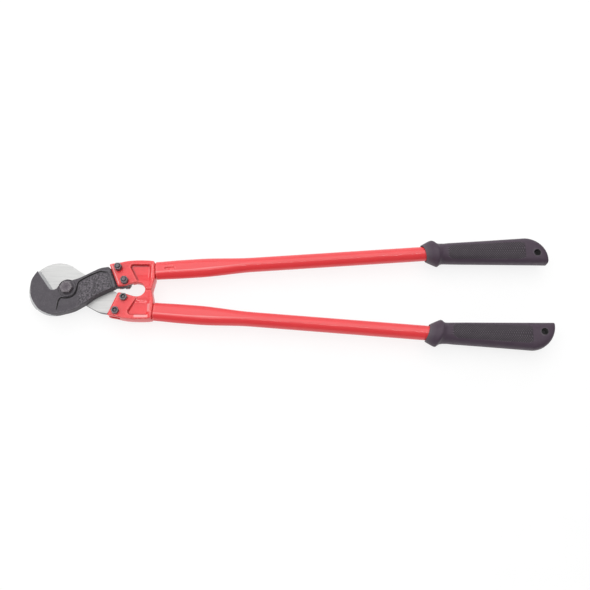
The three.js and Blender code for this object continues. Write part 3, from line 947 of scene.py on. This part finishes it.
def grip_body_station(x):
    """Outer Y, inner Y, half thickness and squareness at a place along the hand-hold."""
    share = (x - GRIP_FROM) / (GRIP_END[0] - GRIP_FROM)
    outer = blend_values(GRIP_OUTER, GRIP_END[1] + GRIP_END_R - 0.4, share)
    inner = GRIP_INNER + 0.3 * (1 - smooth(GRIP_FROM, GRIP_FROM + 30, x))
    return outer, inner, blend_values(GRIP_THICK, GRIP_END_THICK, share), 2.25 + 0.9 * share ** 2


def grip_end_station(turn):
    """X, outer Y, inner Y and half thickness at a place round the rounded end."""
    corner = 1.1
    x = GRIP_END[0] + GRIP_END_R * math.sin(turn)
    past = min(1, max(0, x - (GRIP_END[0] + GRIP_END_R - corner)) / corner)
    inner = GRIP_INNER + corner * (1 - math.sqrt(max(1 - past ** 2, 0)))
    outer = max(GRIP_END[1] + (GRIP_END_R - 0.4) * math.cos(turn), inner + 2.5)
    return x, outer, inner, GRIP_END_THICK - 2.8 * (1 - math.cos(turn)) ** 2.2


def knurl(ring, row, x_from, x_to):
    """Raises diamonds on the flat sides of a ring, within a field with rounded ends, and gives the painted
    shade between the diamonds and the painted highlight on their tips.
    """
    column = np.arange(GRIP_SIDES)
    waves = [np.abs(((row + sign * column) % KNURL_STEP) / (KNURL_STEP / 2) - 1) for sign in (1, -1)]
    diamonds = np.minimum(*waves)
    middle = (ring[:, 1].max() + ring[:, 1].min()) / 2 - 1.0
    wide = (ring[:, 1].max() - ring[:, 1].min()) * 0.335
    past = np.maximum(np.maximum(x_from + wide * 0.5 - ring[:, 0], ring[:, 0] - (x_to - wide)), 0)
    inside = np.hypot(past, ring[:, 1] - middle) - wide
    field = smooth(0.8, -0.8, inside)
    ring[:, 2] += np.sign(ring[:, 2]) * KNURL_DEPTH * field * (diamonds - 0.6)
    return ring, field * (1 - diamonds), field * diamonds


def grip_mesh():
    rings = [grip_station(*row, 2.2) for row in COLLAR]
    knurls = {}
    for row, x in enumerate(np.arange(449.0, GRIP_END[0] - 1, KNURL_ROW)):
        outer, inner, half, squareness = grip_body_station(x)
        ring = grip_station(x, x, x, outer, inner, half, squareness)
        ring, *knurls[len(rings)] = knurl(ring, row, 451.0, 544.0)
        rings.append(ring)
    for degrees in range(0, 91, 3):
        x, outer, inner, half = grip_end_station(math.radians(degrees))
        rings.append(grip_station(x, x, x, outer, inner, half, 3.15))
    bore = [tube_to_half(tube_ring(d, GAP, sides=GRIP_SIDES)) for d in (434, 380, 330, 322.5)]
    bore[-1][:, 0] = rings[0][:, 0] + 1.2
    mesh = Mesh()
    numbers = [mesh.add_points(ring) for ring in bore + rings]
    # Painted shade in the knurl's grooves and painted highlight on its tips.
    for row, (groove, tip) in knurls.items():
        mesh.marks["painted_shade"].update(zip(numbers[row + len(bore)], groove))
        mesh.marks["painted_highlight"].update(zip(numbers[row + len(bore)], tip))
    mesh.skin(numbers)
    mesh.add_face(numbers[0][::-1])
    mesh.add_face(numbers[-1])
    return mesh


def make_grips():
    grip = make_object("grip", grip_mesh(), (RUBBER, HOLE_SHADE_RUBBER), sharp=50)
    hole = [tuple(p) for p in arc(HANG_HOLE, HANG_HOLE_R, 0, 2 * math.pi, 48)[:-1]]
    # The hang hole's wall takes the painted-shade rubber.
    cutter = make_object("hole", slab_mesh(hole, -20, 20, paint=1), (RUBBER, HOLE_SHADE_RUBBER))
    boolean(grip, cutter, "DIFFERENCE", 50)
    mark_edge_wear_and_sheen(grip, 35, 1)
    for side in HALF_PLACES:
        settle(grip, f"{side}_rubber_grip", side, "grip_rubber", f"{side}_grip")
    bpy.data.objects.remove(grip)


# ------------------------------------------------------------------ fasteners

def hex_turns():
    return np.arange(72) * 2 * math.pi / 72


def hexagon_radius(turn, across_flats):
    """Distance to the side of a hexagon that has a corner on the X axis."""
    nearest_flat = (turn % (math.pi / 3)) - math.pi / 6
    return across_flats / 2 / np.cos(nearest_flat)


def ring_at(radius, height):
    turn = hex_turns()
    radius = np.broadcast_to(radius, len(turn))
    height = np.broadcast_to(height, len(turn))
    return np.column_stack([radius * np.cos(turn), radius * np.sin(turn), height])


def hex_rings(across_flats, low, high, chamfer_low=False):
    """Rings of a hex prism from its lower side outwards and up to its chamfered top."""
    turn = hex_turns()
    corner = hexagon_radius(turn, across_flats)
    bevel = across_flats / 2 * 0.93
    slope = math.tan(math.radians(30))
    drop = slope * np.maximum(corner - bevel, 0)
    rings = []
    if chamfer_low:
        rings.append(ring_at(bevel, low))
        rings.append(ring_at(corner, low + drop))
    else:
        rings.append(ring_at(corner - 0.12, low))
        rings.append(ring_at(corner, low + 0.12))
    rings.append(ring_at(corner, high - drop))
    rings.append(ring_at(bevel, high))
    return rings


def thread_ring(radius, height, pitch, depth):
    turn = hex_turns()
    wave = np.abs(((height / pitch + turn / (2 * math.pi)) % 1) * 2 - 1)
    return ring_at(radius - depth * wave, height)


def bolt_mesh(radius, across_flats, head_low, head_high, end, pitch, dish):
    """A hex bolt standing head up: dished or plain head, plain shank, thread towards its end."""
    rings = [ring_at(0.01, end), ring_at(radius * 0.68, end), ring_at(radius * 0.94, end + 0.7)]
    thread_to = end + 3.2 * radius
    for height in np.arange(end + 0.9, thread_to, pitch / 5):
        rings.append(thread_ring(radius, height, pitch, 0.45 * pitch))
    rings.append(ring_at(radius, thread_to + 0.6))
    rings.append(ring_at(radius, head_low))
    rings += hex_rings(across_flats, head_low, head_high)
    dark = []
    if dish:
        # Painted shade on two rings down in the dish.
        dark = [len(rings) + 1, len(rings) + 2]
        for share, depth in ((0.36, 0.05), (0.29, 0.5), (0.25, 1), (0.17, 1), (0.12, 0.75)):
            rings.append(ring_at(across_flats * share, head_high - dish * depth))
        rings.append(ring_at(0.01, head_high - dish * 0.7))
    else:
        rings.append(ring_at(across_flats * 0.3, head_high))
        rings.append(ring_at(0.01, head_high))
    return loft(rings, shaded_rings=dark)


def nut_mesh(radius, across_flats, low, high):
    hole = radius + 0.12
    rings = [ring_at(hole, low + 0.6), ring_at(hole + 0.5, low), *hex_rings(across_flats, low, high, True),
             ring_at(hole + 0.5, high), ring_at(hole, high - 0.6)]
    # Painted shade on the rings round the bore.
    return loft(rings, closed=True, shaded_rings=(0, len(rings) - 1))


def washer_mesh(inner, outer, low, high):
    soft = 0.2
    rings = [ring_at(inner, high - soft), ring_at(inner, low + soft), ring_at(inner + soft, low),
             ring_at(outer - soft, low), ring_at(outer, low + soft), ring_at(outer, high - soft),
             ring_at(outer - soft, high), ring_at(inner + soft, high)]
    return loft(rings, closed=True)


def spring_mesh(inner, outer, low, high):
    """A split ring with square ends, twisted a little so that its ends stand apart."""
    turns = np.linspace(0.07, 2 * math.pi - 0.07, 61)
    soft = 0.15
    section = [(inner + soft, 0), (outer - soft, 0), (outer, soft), (outer, 1 - soft), (outer - soft, 1),
               (inner + soft, 1), (inner, 1 - soft), (inner, soft)]
    rings = []
    for turn in turns:
        lean = 0.16 * (turn / math.pi - 1)
        thick = (high - low) - 0.32
        rings.append([(r * math.cos(turn), r * math.sin(turn), low + 0.16 + lean + thick * z)
                      for r, z in section])
    return loft(rings)


def fastener(name, mesh, place=(0, 0), side="upper", flip=False):
    """Puts a fastener's mesh in its hole, turned over if its head is on the far side."""
    thing = make_object(name, mesh, (FASTENER,), sharp=28)
    if flip:
        thing.data.transform(Matrix.Rotation(math.pi, 4, "X"))
    thing.data.transform(Matrix.Translation((place[0] * MM, place[1] * MM, 0)))
    mark_edge_wear_and_sheen(thing, 25, 1)
    settle(thing, name + "_piece", side, "black_fastener", name)
    bpy.data.objects.remove(thing)


def make_bracket_fasteners():
    for side in HALF_PLACES:
        for where, place in BOLT_PLACES.items():
            name = f"{side}_{where}"
            spans = {}
            for kind in ("bolt", "spring_washer", "nut"):
                low, high = node_box(f"{name}_{kind}")
                spans[kind] = (low[2], high[2]) if side == "upper" else (-high[2], -low[2])
            bolt_low, bolt_high = spans["bolt"]
            span = (CHEEK + GAP, -bolt_low, -bolt_high)
            bolt = bolt_mesh(SMALL_R, SMALL_AF, *span, SMALL_PITCH, SMALL_DISH)
            fastener(f"{name}_bolt", bolt, place, side, flip=True)
            spring = spring_mesh(SMALL_R + GAP, SMALL_SPRING_R, *spans["spring_washer"])
            fastener(f"{name}_spring_washer", spring, place, side)
            fastener(f"{name}_nut", nut_mesh(SMALL_R, SMALL_AF, *spans["nut"]), place, side)


def make_pivot():
    kinds = ("washer", "spring_washer", "nut")
    spans = {kind: [corner[2] for corner in node_box(f"pivot_{kind}")] for kind in kinds}
    bolt = bolt_mesh(PIVOT_R, PIVOT_AF, BOSS_FACE + GAP, PIVOT_TOP, PIVOT_LOW, PIVOT_PITCH, 0)
    fastener("pivot_bolt", bolt)
    fastener("pivot_washer", washer_mesh(PIVOT_R + GAP, PIVOT_WASHER_R, *spans["washer"]))
    fastener("pivot_spring_washer", spring_mesh(PIVOT_R + GAP, PIVOT_SPRING_R, *spans["spring_washer"]))
    fastener("pivot_nut", nut_mesh(PIVOT_R, PIVOT_AF, *spans["nut"]))


# ------------------------------------------------------------------ studio

FLOOR_HALF = 20000.0
CAMERA_LENS = 47.3
CAMERA_DISTANCE = 0.914
CAMERA_ELEVATION = math.radians(72.5)
CAMERA_ROLL = math.radians(0.37)
CAMERA_TARGET = Vector((0.2663, -0.0036, CUT_PLANE * MM))


def make_camera():
    data = bpy.data.cameras.new("camera")
    data.lens = CAMERA_LENS
    camera = bpy.data.objects.new("camera", data)
    bpy.context.scene.collection.objects.link(camera)
    back = Vector((0, -math.cos(CAMERA_ELEVATION), math.sin(CAMERA_ELEVATION)))
    turn = back.to_track_quat("Z", "Y").to_matrix().to_4x4() @ Matrix.Rotation(CAMERA_ROLL, 4, "Z")
    camera.matrix_world = Matrix.Translation(CAMERA_TARGET + back * CAMERA_DISTANCE) @ turn
    bpy.context.scene.camera = camera


def make_light(name, place, size, power, target=(0.2, 0, 0)):
    data = bpy.data.lights.new(name, "AREA")
    data.shape = "RECTANGLE"
    data.size, data.size_y = size
    data.energy = power
    light = bpy.data.objects.new(name, data)
    light.location = place
    light.rotation_mode = "QUATERNION"
    light.rotation_quaternion = (Vector(place) - Vector(target)).to_track_quat("Z", "Y")
    bpy.context.scene.collection.objects.link(light)


def make_studio():
    mesh = Mesh()
    corners = ((-1, -1), (1, -1), (1, 1), (-1, 1))
    mesh.add_face(mesh.add_points([(x * FLOOR_HALF, y * FLOOR_HALF, 0) for x, y in corners]))
    paper = Shader("paper", 0.9, 0.0, Specular_IOR_Level=0.1)
    paper.colour(paper.mix(paper.noise(40, 3), (0.20, 0.20, 0.20), (0.22, 0.22, 0.22)))
    paper.surface.inputs["Emission Color"].default_value = (1, 1, 1, 1)
    paper.surface.inputs["Emission Strength"].default_value = 0.80
    floor = make_object("floor", mesh, (paper.material,))
    make_light("softbox", (0.10, 0.50, 1.45), (1.9, 1.35), 15)
    make_light("back", (0.25, 2.2, 0.9), (3.5, 1.8), 18)
    make_light("strip", (0.27, -0.26, 1.45), (2.0, 0.05), 5.0)
    make_light("side", (-1.0, -0.25, 0.55), (0.8, 0.8), 3.5)
    world = bpy.data.worlds.new("studio")
    bpy.context.scene.world = world
    world.use_nodes = True
    background = world.node_tree.nodes["Background"]
    background.inputs["Color"].default_value = (1, 1, 1, 1)
    background.inputs["Strength"].default_value = 0.33
    bpy.context.scene.view_settings.view_transform = "Standard"


make_blades()
make_brackets()
make_tubes()
make_grips()
make_bracket_fasteners()
make_pivot()
make_studio()
make_camera()
